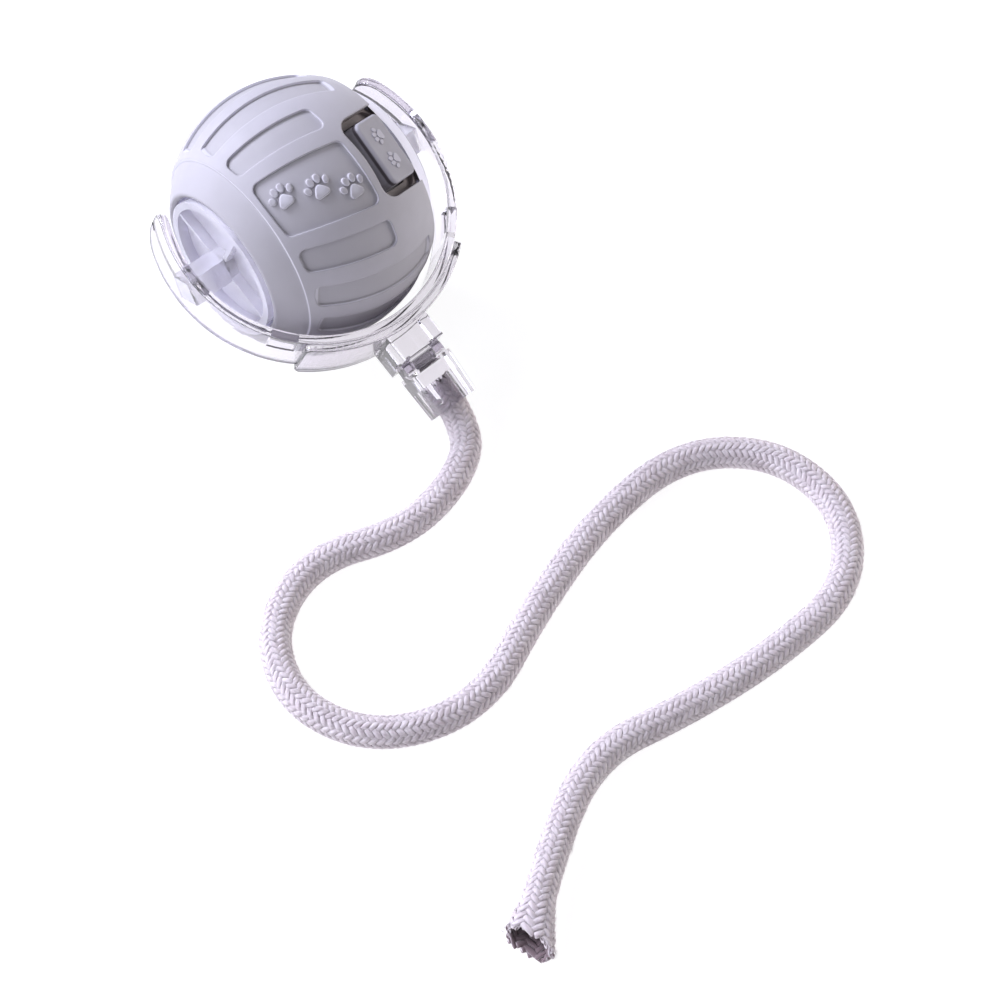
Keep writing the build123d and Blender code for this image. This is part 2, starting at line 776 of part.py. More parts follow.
def make_bracket():
    """The arc over the front of the yoke, its neck and the hinge's middle knuckle."""
    bracket = rounded_sector(yoke_outer, bracket_outer, yoke_width, bracket_half_deg,
                             bracket_thickness, bracket_edge_round)
    half = neck_width / 2
    neck = block((-half, half), (-neck_end, -yoke_outer - bracket_thickness / 2),
                 (-neck_thickness / 2, neck_thickness / 2))
    neck = fillet(neck.edges().filter_by(Axis.Y), neck_edge_round)
    knuckle_half = knuckle_width / 2
    gap = knuckle_half + knuckle_gap / 2
    for side in (-1, 1):
        ends = sorted((side * gap, side * (half + overrun)))
        neck -= rod(knuckle_radius + knuckle_gap, ends[0], ends[1], -hinge_offset)
    neck += rod(knuckle_radius, -knuckle_half, knuckle_half, -hinge_offset)
    neck += block((-knuckle_half, knuckle_half), (-hinge_offset, -neck_end + knuckle_radius),
                  (-knuckle_radius, knuckle_radius))
    bracket = bracket + (neck - Cylinder(yoke_outer, yoke_width + overrun))
    return droop * (bracket - rod(hinge_pin_radius, -half, half, -hinge_offset))


def make_hinge_pin():
    """The pin that the tail holder swings on."""
    half = knuckle_width / 2 + knuckle_gap + cheek_width
    return droop * rod(hinge_pin_radius, -half, half, -hinge_offset)


def make_tail_holder():
    """The tapered clear sleeve that grips the rope, with its two hinge cheeks."""
    start = Plane(origin=(0, -holder_start, 0), x_dir=(1, 0, 0), z_dir=(0, -1, 0))
    end = Plane(origin=(0, -holder_end, 0), x_dir=(1, 0, 0), z_dir=(0, -1, 0))
    holder = loft([
        start * RectangleRounded(holder_top_width, holder_top_thickness, holder_edge_round),
        end * RectangleRounded(holder_end_width, holder_end_thickness, holder_edge_round),
    ], ruled=True)
    knuckle_half = knuckle_width / 2
    holder -= rod(knuckle_radius + knuckle_gap, -holder_top_width, holder_top_width,
                  -hinge_offset)
    for side in (-1, 1):
        inner = knuckle_half + knuckle_gap
        ends = sorted((side * inner, side * (inner + cheek_width)))
        holder += rod(knuckle_radius, ends[0], ends[1], -hinge_offset)
        holder += block(ends, (-holder_start - knuckle_radius, -hinge_offset),
                        (-knuckle_radius, knuckle_radius))
    holder -= rod(hinge_pin_radius + running_clearance, -holder_top_width,
                  holder_top_width, -hinge_offset)
    depth = holder_end - rope_socket_bottom
    bore = Pos(0, -rope_socket_bottom - depth / 2, 0) * Rot(quarter_turn, 0, 0) * Cylinder(
        rope_radius, depth)
    return droop * sag * (holder - bore)


def rope_points():
    """The rope's route: down from the holder to the floor, then along it."""
    droop_turn = math.radians(tail_droop_deg)
    fall = math.radians(tail_droop_deg + holder_sag_deg)
    hinge_y = -hinge_offset * math.cos(droop_turn)
    hinge_z = ball_radius - hinge_offset * math.sin(droop_turn)
    start = rope_socket_bottom - hinge_offset
    floor = (hinge_z - rope_radius) / math.sin(fall)
    points = [(0, hinge_y - reach * math.cos(fall), hinge_z - reach * math.sin(fall))
              for reach in (start, floor)]
    points += [(x, y, rope_radius) for x, y in rope_route]
    return [Vector(*point) for point in points]


def corner_radii(points):
    """As large an arc at each corner as the shorter run beside it allows."""
    radii = []
    for before, here, after in zip(points, points[1:], points[2:]):
        turn = (here - before).get_angle(after - here)
        run = min((here - before).length, (after - here).length)
        radii.append(run_share * run / math.tan(math.radians(turn) / 2))
    return radii


def make_rope():
    """The rope as a plain tube along its route."""
    points = rope_points()
    radii = corner_radii(points)
    path = FilletPolyline(*points, radius=radii)
    section = Plane(origin=path @ 0, z_dir=path % 0) * Circle(rope_radius)
    rope = sweep(section, path=path)
    tube = math.pi * rope_radius ** 2 * path.length
    print("rope radii", [round(radius, 1) for radius in radii])
    print("rope length", round(path.length, 1), "volume", round(rope.volume), "of", round(tube))
    return rope


lifted = {
    "sleeve": make_sleeve(),
    "shell_near": make_shell_near(),
    "shell_far": make_shell_far(),
    "shell_screws": make_shell_screws(),
    "axle_bushes": make_axle_bushes(),
    "chassis": make_chassis(),
    "battery": make_battery(),
    "main_board": make_main_board(),
    "usb_c_socket": make_usb_socket(),
    "power_key": make_power_key(),
    "switch_plunger": make_switch_plunger(),
    "tact_switch": make_tact_switch(),
    "switch_board": make_switch_board(),
    "status_led": make_status_led(),
    "motor": make_motor(),
    "motor_pinion": make_motor_pinion(),
    "compound_gear": make_compound_gear(),
    "gear_pin": make_gear_pin(),
    "output_gear": make_output_gear(),
    "main_axle": make_axle(),
    "hub_near": make_hub(-1),
    "hub_far": make_hub(1),
    "yoke": make_yoke(),
    "tail_bracket": make_bracket(),
    "hinge_pin": make_hinge_pin(),
    "tail_holder": make_tail_holder(),
}
for name, solid in lifted.items():
    export_step(lift * solid, f"parts/{name}.step")
export_step(make_rope(), "parts/tail_rope.step")
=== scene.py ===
import math

import bpy
import numpy as np
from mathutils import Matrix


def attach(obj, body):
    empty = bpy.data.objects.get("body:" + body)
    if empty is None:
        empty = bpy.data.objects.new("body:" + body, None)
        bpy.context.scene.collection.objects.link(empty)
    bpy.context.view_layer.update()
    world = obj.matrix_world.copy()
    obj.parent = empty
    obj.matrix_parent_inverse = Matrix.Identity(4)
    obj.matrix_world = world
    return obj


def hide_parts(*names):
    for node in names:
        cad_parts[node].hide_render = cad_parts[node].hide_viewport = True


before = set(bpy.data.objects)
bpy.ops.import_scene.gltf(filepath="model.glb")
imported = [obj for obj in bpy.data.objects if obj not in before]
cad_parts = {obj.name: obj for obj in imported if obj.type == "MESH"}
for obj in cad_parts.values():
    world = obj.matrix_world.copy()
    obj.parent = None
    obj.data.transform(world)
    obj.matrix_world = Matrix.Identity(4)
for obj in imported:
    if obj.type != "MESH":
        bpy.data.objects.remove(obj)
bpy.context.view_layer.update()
MM = 0.001

# Camera, fitted to the photo
camera_fall = 55.83
camera_heading = -42.64
camera_data = bpy.data.cameras.new("camera")
camera_data.lens = 103.2
camera_data.sensor_width = 36
camera_data.clip_start, camera_data.clip_end = 0.01, 20
camera = bpy.data.objects.new("camera", camera_data)
camera.location = (-0.18544, -0.25029, 0.39240)
camera.rotation_euler = (math.radians(90 - camera_fall), 0, math.radians(camera_heading))
bpy.context.scene.collection.objects.link(camera)
bpy.context.scene.camera = camera

# The ball, in mm
ball_radius = 22.5
ball_middle = (0, 0, ball_radius * MM)
sleeve_far_x = 14.2

# The power key: its top's distance from the ball's middle, in mm along its own direction, and the angles from that
# direction at which the painted shade in the well round the key starts to fade and has gone
key_direction = (0.4848, -0.4635, 0.7417)
key_top = 21.8
well_shade_inside = math.radians(25)
well_shade_outside = math.radians(26)

# The braided tail, in mm. Its open end is called the mouth: it is wider and flatter than the rest and cut askew.
rope_radius = 2.7
heading_reach = 0.6
strands_each_way = 12
strand_lay = 14.0
strand_half_width = 0.53
strand_half_height = 0.30
strand_rise = 0.18
latest_start = 1.4
most_ragged = 0.35
weave_gain = 1.35
weave_softness = 0.82
mouth_side_cut = 2.6
mouth_top_cut = 1.9
mouth_reach = 11.0
mouth_wide = 1.75
mouth_flat = 0.80
core_radius = 1.75
core_start = 0.8
core_short = 11.0
core_rounding = 1.4

# The tail's route, from the bottom of its socket to its open end on the floor.
rope_route = [
    (0, -33.01, 7.69), (0, -41.83, 2.7), (-8.5, -48.0, 2.7), (-22.0, -50.0, 2.7),
    (-36.5, -43.5, 2.7), (-50.5, -49.0, 2.7), (-56.5, -62.5, 2.7), (-50.5, -76.5, 2.7),
    (-34.5, -82.5, 2.7), (-16.5, -75.0, 2.7), (3.0, -69.5, 2.7), (22.0, -69.0, 2.7),
    (34.0, -79.5, 2.7), (34.5, -95.0, 2.7), (23.5, -106.5, 2.7), (5.5, -107.0, 2.7),
    (-12.0, -104.5, 2.7), (-27.5, -100.5, 2.7), (-43.5, -107.5, 2.7), (-59.0, -118.3, 2.7),
]


def smooth_line(points):
    """The points in mm that a NURBS spline of order 3 runs through, with the given ones as its control points."""
    curve = bpy.data.curves.new("tail_line", "CURVE")
    curve.dimensions = "3D"
    curve.resolution_u = 40
    spline = curve.splines.new("NURBS")
    spline.points.add(len(points) - 1)
    four = np.ones((len(points), 4), np.float32)
    four[:, :3] = np.array(points) * MM
    spline.points.foreach_set("co", four.ravel())
    spline.order_u = 3
    spline.use_endpoint_u = True
    holder = bpy.data.objects.new("tail_line", curve)
    read = bpy.data.meshes.new_from_object(holder)
    line = np.empty(len(read.vertices) * 3)
    read.vertices.foreach_get("co", line)
    bpy.data.objects.remove(holder)
    bpy.data.curves.remove(curve)
    bpy.data.meshes.remove(read)
    return line.reshape(-1, 3) / MM


def steps_of(line):
    """The lengths of a line's pieces."""
    return np.linalg.norm(np.diff(line, axis=0), axis=1)


def unit(vectors, least=0.0):
    """The vectors at length one. With a least length above nought, one without a length stays nought."""
    return vectors / (np.linalg.norm(vectors, axis=-1, keepdims=True) + least)


def along(line, stations):
    """Centres at the given distances along a line, each with its level side and its upper normal. The line's heading
    is read from heading_reach ahead and behind."""
    run = np.concatenate([[0], np.cumsum(steps_of(line))])
    stations = np.minimum(stations, run[-1])
    centre, ahead, behind = (
        np.stack([np.interp(stations + shift, run, line[:, k]) for k in range(3)], -1)
        for shift in (0, heading_reach, -heading_reach)
    )
    tangent = unit(ahead - behind)
    side = unit(np.stack([-tangent[..., 1], tangent[..., 0], 0 * tangent[..., 0]], -1))
    return centre, side, np.cross(tangent, side)


def round_turn(sides):
    """The cosines and the sines of angles spread evenly round a turn, for the corners of a section."""
    turn = 2 * math.pi * np.arange(sides) / sides
    return np.cos(turn)[:, None], np.sin(turn)[:, None]


def smooth_step(value):
    """Nought below 0, one above 1, and 3t^2 - 2t^3 between."""
    t = np.clip(value, 0, 1)
    return t * t * (3 - 2 * t)


def tube_mesh(name, rings, mm_along):
    """One closed mesh of many tubes: rings[tube, station, side] are points in mm, quads join each ring to the next and
    a flat polygon closes each end. The map's u goes once round a tube, and v is the distance along it in mm."""
    tubes, stations, sides = rings.shape[:3]
    number = np.arange(tubes * stations * sides).reshape(tubes, stations, sides)
    turned = np.roll(number, -1, 2)
    quads = np.stack([number[:, :-1], number[:, 1:], turned[:, 1:], turned[:, :-1]], -1).reshape(-1, 4)
    caps = np.concatenate([number[:, 0], number[:, -1, ::-1]])
    mesh = bpy.data.meshes.new(name)
    mesh.vertices.add(number.size)
    mesh.vertices.foreach_set("co", (rings * MM).astype(np.float32).ravel())
    corners = np.concatenate([quads.ravel(), caps.ravel()]).astype(np.int32)
    mesh.loops.add(corners.size)
    mesh.loops.foreach_set("vertex_index", corners)
    sizes = np.concatenate([np.full(len(quads), 4), np.full(len(caps), sides)])
    mesh.polygons.add(len(sizes))
    mesh.polygons.foreach_set("loop_start", (np.cumsum(sizes) - sizes).astype(np.int32))
    u = np.broadcast_to(np.arange(sides) / sides, (tubes, stations - 1, sides))
    v = np.broadcast_to(mm_along[..., None], (tubes, stations, sides))
    quad_map = np.stack(
        [
            np.stack([u, u, u + 1 / sides, u + 1 / sides], -1),
            np.stack([v[:, :-1], v[:, 1:], v[:, 1:], v[:, :-1]], -1),
        ],
        -1,
    ).reshape(-1, 2)
    cap_map = np.stack(
        [
            np.broadcast_to(np.arange(sides) / sides, caps.shape).ravel(),
            np.concatenate([v[:, 0].ravel(), v[:, -1].ravel()]),
        ],
        -1,
    )
    layer = mesh.uv_layers.new(name="yarn")
    layer.data.foreach_set("uv", np.concatenate([quad_map, cap_map]).astype(np.float32).ravel())
    mesh.polygons.foreach_set("use_smooth", np.concatenate([np.ones(len(quads), bool), np.zeros(len(caps), bool)]))
    mesh.update(calc_edges=True)
    mesh.validate()
    piece = bpy.data.objects.new(name, mesh)
    bpy.context.scene.collection.objects.link(piece)
    return piece


def mouth_shape(stations, length):
    """How wide and how flat the braid is at each distance: round, until it flattens and opens over its last stretch.
    Its centre sinks by what it loses in height, so its underside stays on the floor."""
    open_share = smooth_step((stations - (length - mouth_reach)) / mouth_reach)
    wide = 1 + (mouth_wide - 1) * open_share
    flat = 1 + (mouth_flat - 1) * open_share
    return wide, flat, rope_radius * (1 - flat)


def cut_back(angle):
    """How much shorter than the tail the braid is cut, by the angle round it: nothing at the lower left of its heading,
    and more toward its right and top, each by half of one less or plus a cosine."""
    return mouth_side_cut * (1 - np.cos(angle)) / 2 + mouth_top_cut * (1 + np.sin(angle)) / 2


def about(line, stations, angle, distance):
    """Places about the line, and which way is out there: at the given distances along the line, at an angle round it
    from its side, and at a distance from its middle that the mouth makes wider and flatter."""
    centre, side, upper = along(line, stations)
    wide, flat, sunk = mouth_shape(stations, steps_of(line).sum())
    middle = centre + (distance * np.cos(angle) * wide)[..., None] * side
    middle = middle + (distance * np.sin(angle) * flat)[..., None] * upper
    middle[..., 2] -= sunk
    return middle, np.cos(angle)[..., None] * side + np.sin(angle)[..., None] * upper


def braid_half(name, line, hand):
    """The strands that wind one way round the tail. Strand i stands at the angle i/n of a turn plus (or minus) one turn
    per lay, and its distance from the middle rises where it passes over two strands of the other hand and falls where
    it passes under two: a cosine with a period of four crossings, squared off. Each section is an ellipse. A strand
    ends where it meets the askew cut, which takes some rounds to settle, since the cut depends on the angle there."""
    length = steps_of(line).sum()
    count, sides, rounds = 1150, 6, 40
    number = np.arange(strands_each_way)[:, None]
    chance = np.random.default_rng(7 if hand > 0 else 11)
    ragged = chance.uniform(0.0, most_ragged, (strands_each_way, 1))
    ends = length - ragged
    for _ in range(rounds):
        at_end = 2 * math.pi * (number / strands_each_way + hand * ends / strand_lay)
        ends = (ends + length - ragged - cut_back(at_end)) / 2
    starts = chance.uniform(0.0, latest_start, (strands_each_way, 1))
    stations = starts + (ends - starts) * np.linspace(0, 1, count)
    crossings = 2 * strands_each_way * stations / strand_lay
    phase = 0.5 if hand > 0 else 2.5
    wave = np.cos(math.pi / 2 * (2 * number + hand * crossings - phase))
    wave = wave * weave_gain / np.sqrt(wave**2 + weave_softness)
    distance = rope_radius - strand_half_height - strand_rise + strand_rise * wave
    angle = 2 * math.pi * (number / strands_each_way + hand * stations / strand_lay)
    middle, out = about(line, stations, angle, distance)
    heading = unit(np.gradient(middle, axis=1))
    out = unit(out - (out * heading).sum(-1, keepdims=True) * heading)
    across = np.cross(heading, out)
    cosine, sine = round_turn(sides)
    rings = (
        middle[:, :, None]
        + strand_half_width * cosine * across[:, :, None]
        + strand_half_height * sine * out[:, :, None]
    )
    return tube_mesh(name, rings, stations)


def core_tube(name, line):
    """The soft filling: a round tube along the line, rounded at its start and ended inside the open mouth."""
    length = steps_of(line).sum()
    count, sides = 420, 14
    first, last = core_start, length - core_short
    stations = np.linspace(first, last, count)[None]
    centre, side, upper = along(line, stations)
    wide, flat, sunk = mouth_shape(stations, length)
    reach = np.clip(np.minimum(stations - first, last - stations) / core_rounding, 0.02, 1)
    radius = core_radius * np.sqrt(np.clip(1 - (1 - reach) ** 2, 0, 1))
    cosine, sine = round_turn(sides)
    rings = (
        centre[:, :, None]
        + (radius * wide)[..., None, None] * cosine * side[:, :, None]
        - (radius * flat)[..., None, None] * sine * upper[:, :, None]
    )
    rings[..., 2] -= sunk[..., None]
    return tube_mesh(name, rings, stations)


def loose_fibres(name, line):
    """Short cotton hairs: each leaves the braid's surface at a chance place, leans along it and curls out by a square
    law of its own length, as a three-sided tube that narrows to its tip."""
    length = steps_of(line).sum()
    chance = np.random.default_rng(23)
    many, joints, sides = 6500, 5, 3
    out_of_socket, before_end, past_level = 7.5, 0.4, 0.25
    shortest, longest = 0.5, 1.5
    least_lift, most_lift, root_depth = 0.05, 0.42, 0.12
    thickness, taper = 0.028, 0.8
    start = chance.uniform(out_of_socket, length - before_end, (many, 1))
    angle = chance.uniform(-past_level, math.pi + past_level, (many, 1))
    share = np.linspace(0, 1, joints)
    reach = chance.uniform(shortest, longest, (many, 1)) * chance.choice([-1, 1], (many, 1))
    stations = np.clip(start + reach * share, 0, length - before_end / 2 - cut_back(angle))
    lift = chance.uniform(least_lift, most_lift, (many, 1)) * share**1.6
    sweep = chance.normal(0, 0.22, (many, 1)) * share + chance.normal(0, 0.10, (many, 1)) * share**2
    middle, _ = about(line, stations, angle + sweep, rope_radius - root_depth + lift)
    heading = unit(np.gradient(middle, axis=1), 1e-12)
    unlike_any_heading = np.array([0.31, 0.17, 0.93])
    first = unit(np.cross(heading, unlike_any_heading))
    second = np.cross(first, heading)
    cosine, sine = round_turn(sides)
    thick = (thickness * (1 - taper * share))[None, :, None, None]
    rings = middle[:, :, None] + thick * (cosine * first[:, :, None] + sine * second[:, :, None])
    return tube_mesh(name, rings, stations)


tail_line = smooth_line(rope_route)
right_strands = braid_half("tail_rope_right_strands", tail_line, 1)
left_strands = braid_half("tail_rope_left_strands", tail_line, -1)
rope_core = core_tube("tail_rope_core", tail_line)
rope_fibres = loose_fibres("tail_rope_fibres", tail_line)
rope_pieces = [right_strands, left_strands, rope_core, rope_fibres]
for piece in rope_pieces:
    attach(piece, "tail")
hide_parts("tail_rope")


# Materials
def linear(code):
    """An sRGB hex colour as opaque linear light."""
    parts = [int(code[k:k + 2], 16) / 255 for k in (1, 3, 5)]
    return (*[p / 12.92 if p <= 0.04045 else ((p + 0.055) / 1.055) ** 2.4 for p in parts], 1.0)


def add(tree, kind, settings=None, **sockets):
    """One node with its settings. A socket is named with _ for a space, or as in_N, and takes a plain value or an
    output."""
    made = tree.nodes.new("ShaderNode" + kind)
    for name, value in (settings or {}).items():
        setattr(made, name, value)
    for name, value in sockets.items():
        socket = made.inputs[int(name[3:])] if name.startswith("in_") else made.inputs[name.replace("_", " ")]
        if isinstance(value, bpy.types.NodeSocket):
            tree.links.new(value, socket)
        else:
            socket.default_value = value
    return made


def begin(name):
    """An empty material with its node tree and the piece's own coordinates."""
    made = bpy.data.materials.new(name)
    made.use_nodes = True
    made.node_tree.nodes.clear()
    return made, made.node_tree, add(made.node_tree, "TexCoord").outputs["Object"]


def end(tree, shader):
    """The shader as the material's surface."""
    add(tree, "OutputMaterial", Surface=shader.outputs[0])


def blended(tree, share, first, second):
    """A colour between two, by a share from 0 to 1. Each of the two is a hex colour or an output."""
    first, second = (linear(colour) if isinstance(colour, str) else colour for colour in (first, second))
    return add(tree, "Mix", {"data_type": "RGBA"}, in_0=share, in_6=first, in_7=second).outputs[2]


def times(tree, first, second):
    return add(tree, "Math", {"operation": "MULTIPLY"}, in_0=first, in_1=second).outputs[0]


def sine_of(tree, value):
    return add(tree, "Math", {"operation": "SINE"}, in_0=value).outputs[0]


def speckle(tree, place, size_mm, detail=3.0):
    """Soft noise whose patches are about the given size."""
    return add(tree, "TexNoise", Vector=place, Scale=1 / (size_mm * MM), Detail=detail, Roughness=0.55).outputs[0]


def stretched(tree, value, low, high, to_low=0.0, to_high=1.0):
    """A value that runs evenly from one end to the other between two limits, and stays level outside them."""
    return add(
        tree, "MapRange", Value=value, From_Min=low, From_Max=high, To_Min=to_low, To_Max=to_high
    ).outputs[0]


def mottled(tree, place, size_mm, pale, dark):
    """A colour that wanders between two hex colours in soft patches of about the given size."""
    return blended(tree, stretched(tree, speckle(tree, place, size_mm), 0.35, 0.65), pale, dark)


def uneven(tree, place, size_mm, low, high):
    """A roughness that wanders between two values in soft patches of about the given size."""
    return stretched(tree, speckle(tree, place, size_mm), 0.3, 0.7, low, high)


def from_middle(tree, place):
    """The way in metres from the middle of the ball."""
    return add(tree, "VectorMath", {"operation": "SUBTRACT"}, in_0=place, in_1=ball_middle).outputs[0]


def toward_key(tree, way):
    """How far a vector reaches in the power key's own direction."""
    return add(tree, "VectorMath", {"operation": "DOT_PRODUCT"}, in_0=way, in_1=key_direction).outputs["Value"]


def bumped(tree, height, depth_mm, strength, normal=None):
    """A normal that follows a height, on top of the face's own normal or a given one."""
    bump = add(tree, "Bump", Height=height, Distance=depth_mm * MM, Strength=strength)
    if normal:
        tree.links.new(normal, bump.inputs["Normal"])
    return bump.outputs[0]


def moulded_silicone(name, pale, dark, recess_shade_colour, highlight_colour, shine, edge_mm):
    """Silicone rubber from an eroded mould: no gloss, a soft glow near its edges and a fine grain of 0.22 mm. The low
    places are painted darker, as painted shade, so that the panels look a little darker than the ridges. The upper
    part of the panels' walls and of the paws, between the two levels, is painted paler, as a painted highlight. Its
    rims are rounded by edge_mm in the shading, as a soft rubber moulding's are, and so catch a thin line of light."""
    recess_shade_starts, recess_shade_full = ball_radius - 0.28, ball_radius - 0.75
    highlight_starts, highlight_full, highlight_fades, highlight_ends = (ball_radius - depth for depth in (0.36, 0.28, 0.05, 0.01))
    highlight_share = 0.85
    made, tree, place = begin(name)
    far = add(tree, "VectorMath", {"operation": "LENGTH"}, in_0=from_middle(tree, place))
    level = times(tree, far.outputs["Value"], 1 / MM)
    # Painted shade: the low places, from 0.28 to 0.75 mm under the ball's surface, are painted darker.
    recess_shade = stretched(tree, level, recess_shade_full, recess_shade_starts, 1.0, 0.0)
    recess_shaded = blended(tree, recess_shade, mottled(tree, place, 9, pale, dark), recess_shade_colour)
    # Painted highlight: the upper part of the panels' and the paws' walls is painted paler.
    highlight_rise = stretched(tree, level, highlight_starts, highlight_full, 0.0, highlight_share)
    covered = stretched(tree, level, highlight_fades, highlight_ends, 1.0, 0.0)
    highlighted = blended(tree, times(tree, highlight_rise, covered), recess_shaded, highlight_colour)
    grain = speckle(tree, place, 0.22, 4.0)
    rims = add(tree, "Bevel", {"samples": 8}, Radius=edge_mm * MM)
    end(tree, add(
        tree, "BsdfPrincipled", Base_Color=highlighted, Roughness=uneven(tree, place, 1.6, shine - 0.05, shine + 0.07),
        IOR=1.41, Specular_IOR_Level=0.42, Sheen_Weight=0.12, Sheen_Roughness=0.5,
        Subsurface_Weight=0.12, Subsurface_Radius=(0.9, 0.8, 1.0), Subsurface_Scale=0.0011,
        Normal=bumped(tree, grain, 0.02, 0.5, rims.outputs[0]),
    ))
    return made


def key_rubber(name, pale, dark, flank_shade_colour, highlight_colour):
    """The key's silicone: dull and finely grained on top. Its flanks are painted dark as painted shade in a soft-edged
    band from 0.6 to 1.3 mm under the top, where they pass the window's edge, and its foot, which stays in its guide,
    keeps the key's own pale colour. The two marks, raised 0.18 mm above the top, are painted paler as a painted
    highlight."""
    flank_shade_starts, flank_shade_full, flank_shade_fades, flank_shade_ends = (key_top - depth for depth in (0.45, 0.75, 1.15, 1.45))
    mark_starts, mark_full = key_top + 0.01, key_top + 0.05
    made, tree, place = begin(name)
    height = times(tree, toward_key(tree, from_middle(tree, place)), 1 / MM)
    # Painted shade: a band of the flanks, 0.75 to 1.15 mm under the top and fading out by 0.45 and 1.45 mm, is painted
    # dark.
    upper = stretched(tree, height, flank_shade_full, flank_shade_starts, 1.0, 0.0)
    lower = stretched(tree, height, flank_shade_ends, flank_shade_fades, 0.0, 1.0)
    flank_shaded = blended(tree, times(tree, upper, lower), mottled(tree, place, 4, pale, dark), flank_shade_colour)
    # Painted highlight: the raised marks, walls and tops, are painted paler.
    marks_highlighted = blended(tree, stretched(tree, height, mark_starts, mark_full), flank_shaded, highlight_colour)
    end(tree, add(
        tree, "BsdfPrincipled", Base_Color=marks_highlighted, IOR=1.41, Specular_IOR_Level=0.45,
        Roughness=uneven(tree, place, 1.2, 0.48, 0.60), Sheen_Weight=0.10, Sheen_Roughness=0.5,
        Normal=bumped(tree, speckle(tree, place, 0.2, 4.0), 0.02, 0.5),
    ))
    return made


def clear_polycarbonate(name, tint, haze, clarity, cover):
    """Injection moulded polycarbonate: clear with a faint cast, dark and bright lines at its edges, a trace of flow
    marks 3 mm apart and fine scuffs. What it lacks in clarity is a milky body that takes the light, and what it lacks
    in cover is light that goes straight through, as through a thin wall."""
    made, tree, place = begin(name)
    flow = speckle(tree, place, 3.2, 2.0)
    scuff = speckle(tree, place, 0.5, 5.0)
    end(tree, add(
        tree, "BsdfPrincipled", Base_Color=linear(tint), IOR=1.55, Transmission_Weight=clarity, Alpha=cover,
        Roughness=stretched(tree, scuff, 0.45, 0.75, haze, haze + 0.06),
        Normal=bumped(tree, flow, 0.05, 0.35),
    ))
    return made


def moulded_plastic(name, pale, dark, roughness, ior=1.53, grain_mm=0.3):
    """A plain thermoplastic moulding: even colour with faint flow marks and a fine spark-eroded grain."""
    made, tree, place = begin(name)
    end(tree, add(
        tree, "BsdfPrincipled", Base_Color=mottled(tree, place, 5, pale, dark), IOR=ior,
        Roughness=uneven(tree, place, 0.9, roughness - 0.05, roughness + 0.06),
        Normal=bumped(tree, speckle(tree, place, grain_mm), 0.012, 0.4),
    ))
    return made


def welled_plastic(name, pale, dark, well):
    """The shell's moulding with the sunk well under the power key painted a darker grey-brown, as painted shade, which
    makes the key stand out: all that lies near the key's direction, as far along X as the sleeve reaches."""
    edge_fade = 0.1
    made, tree, place = begin(name)
    ray = add(tree, "VectorMath", {"operation": "NORMALIZE"}, in_0=from_middle(tree, place)).outputs[0]
    near = stretched(tree, toward_key(tree, ray), math.cos(well_shade_outside), math.cos(well_shade_inside))
    across = add(tree, "SeparateXYZ", Vector=place).outputs[0]
    covered = stretched(tree, across, sleeve_far_x * MM, (sleeve_far_x + edge_fade) * MM, 1.0, 0.0)
    # Painted shade: the well round the key is painted the darker colour.
    colour = blended(tree, times(tree, near, covered), mottled(tree, place, 5, pale, dark), well)
    end(tree, add(
        tree, "BsdfPrincipled", Base_Color=colour, IOR=1.53, Specular_IOR_Level=0.3,
        Roughness=uneven(tree, place, 0.9, 0.50, 0.60),
        Normal=bumped(tree, speckle(tree, place, 0.3), 0.012, 0.4),
    ))
    return made


def worked_metal(name, pale, dark, roughness, axis_scale):
    """Drawn or pressed metal: fine lines 0.35 mm apart, drawn out where axis_scale is small, and patches a little
    darker where oil stays."""
    made, tree, place = begin(name)
    squeezed = add(tree, "VectorMath", {"operation": "MULTIPLY"}, in_0=place, in_1=axis_scale)
    lines = add(tree, "TexNoise", Vector=squeezed.outputs[0], Scale=1 / (0.35 * MM), Detail=3.0).outputs[0]
    end(tree, add(
        tree, "BsdfPrincipled", Metallic=1.0, Base_Color=mottled(tree, place, 2.5, pale, dark),
        Roughness=stretched(tree, lines, 0.3, 0.7, roughness - 0.06, roughness + 0.08),
        Normal=bumped(tree, lines, 0.01, 0.4),
    ))
    return made


def solder_masked_board(name):
    """Glass-fibre board under green solder mask: glossy, with lighter copper tracks 0.4 mm wide under the lacquer."""
    made, tree, place = begin(name)
    cells = add(tree, "TexBrick", {"offset": 0.5}, Vector=place, Scale=1 / (2.4 * MM), Mortar_Size=0.09)
    cells.inputs["Color1"].default_value = linear("#1E6B3E")
    cells.inputs["Color2"].default_value = linear("#1B6138")
    cells.inputs["Mortar"].default_value = linear("#3F9A61")
    end(tree, add(
        tree, "BsdfPrincipled", Base_Color=cells.outputs[0], IOR=1.5, Coat_Weight=0.4, Coat_Roughness=0.08,
        Roughness=uneven(tree, place, 1.2, 0.28, 0.40),
        Normal=bumped(tree, cells.outputs[1], 0.03, 0.5),
    ))
    return made


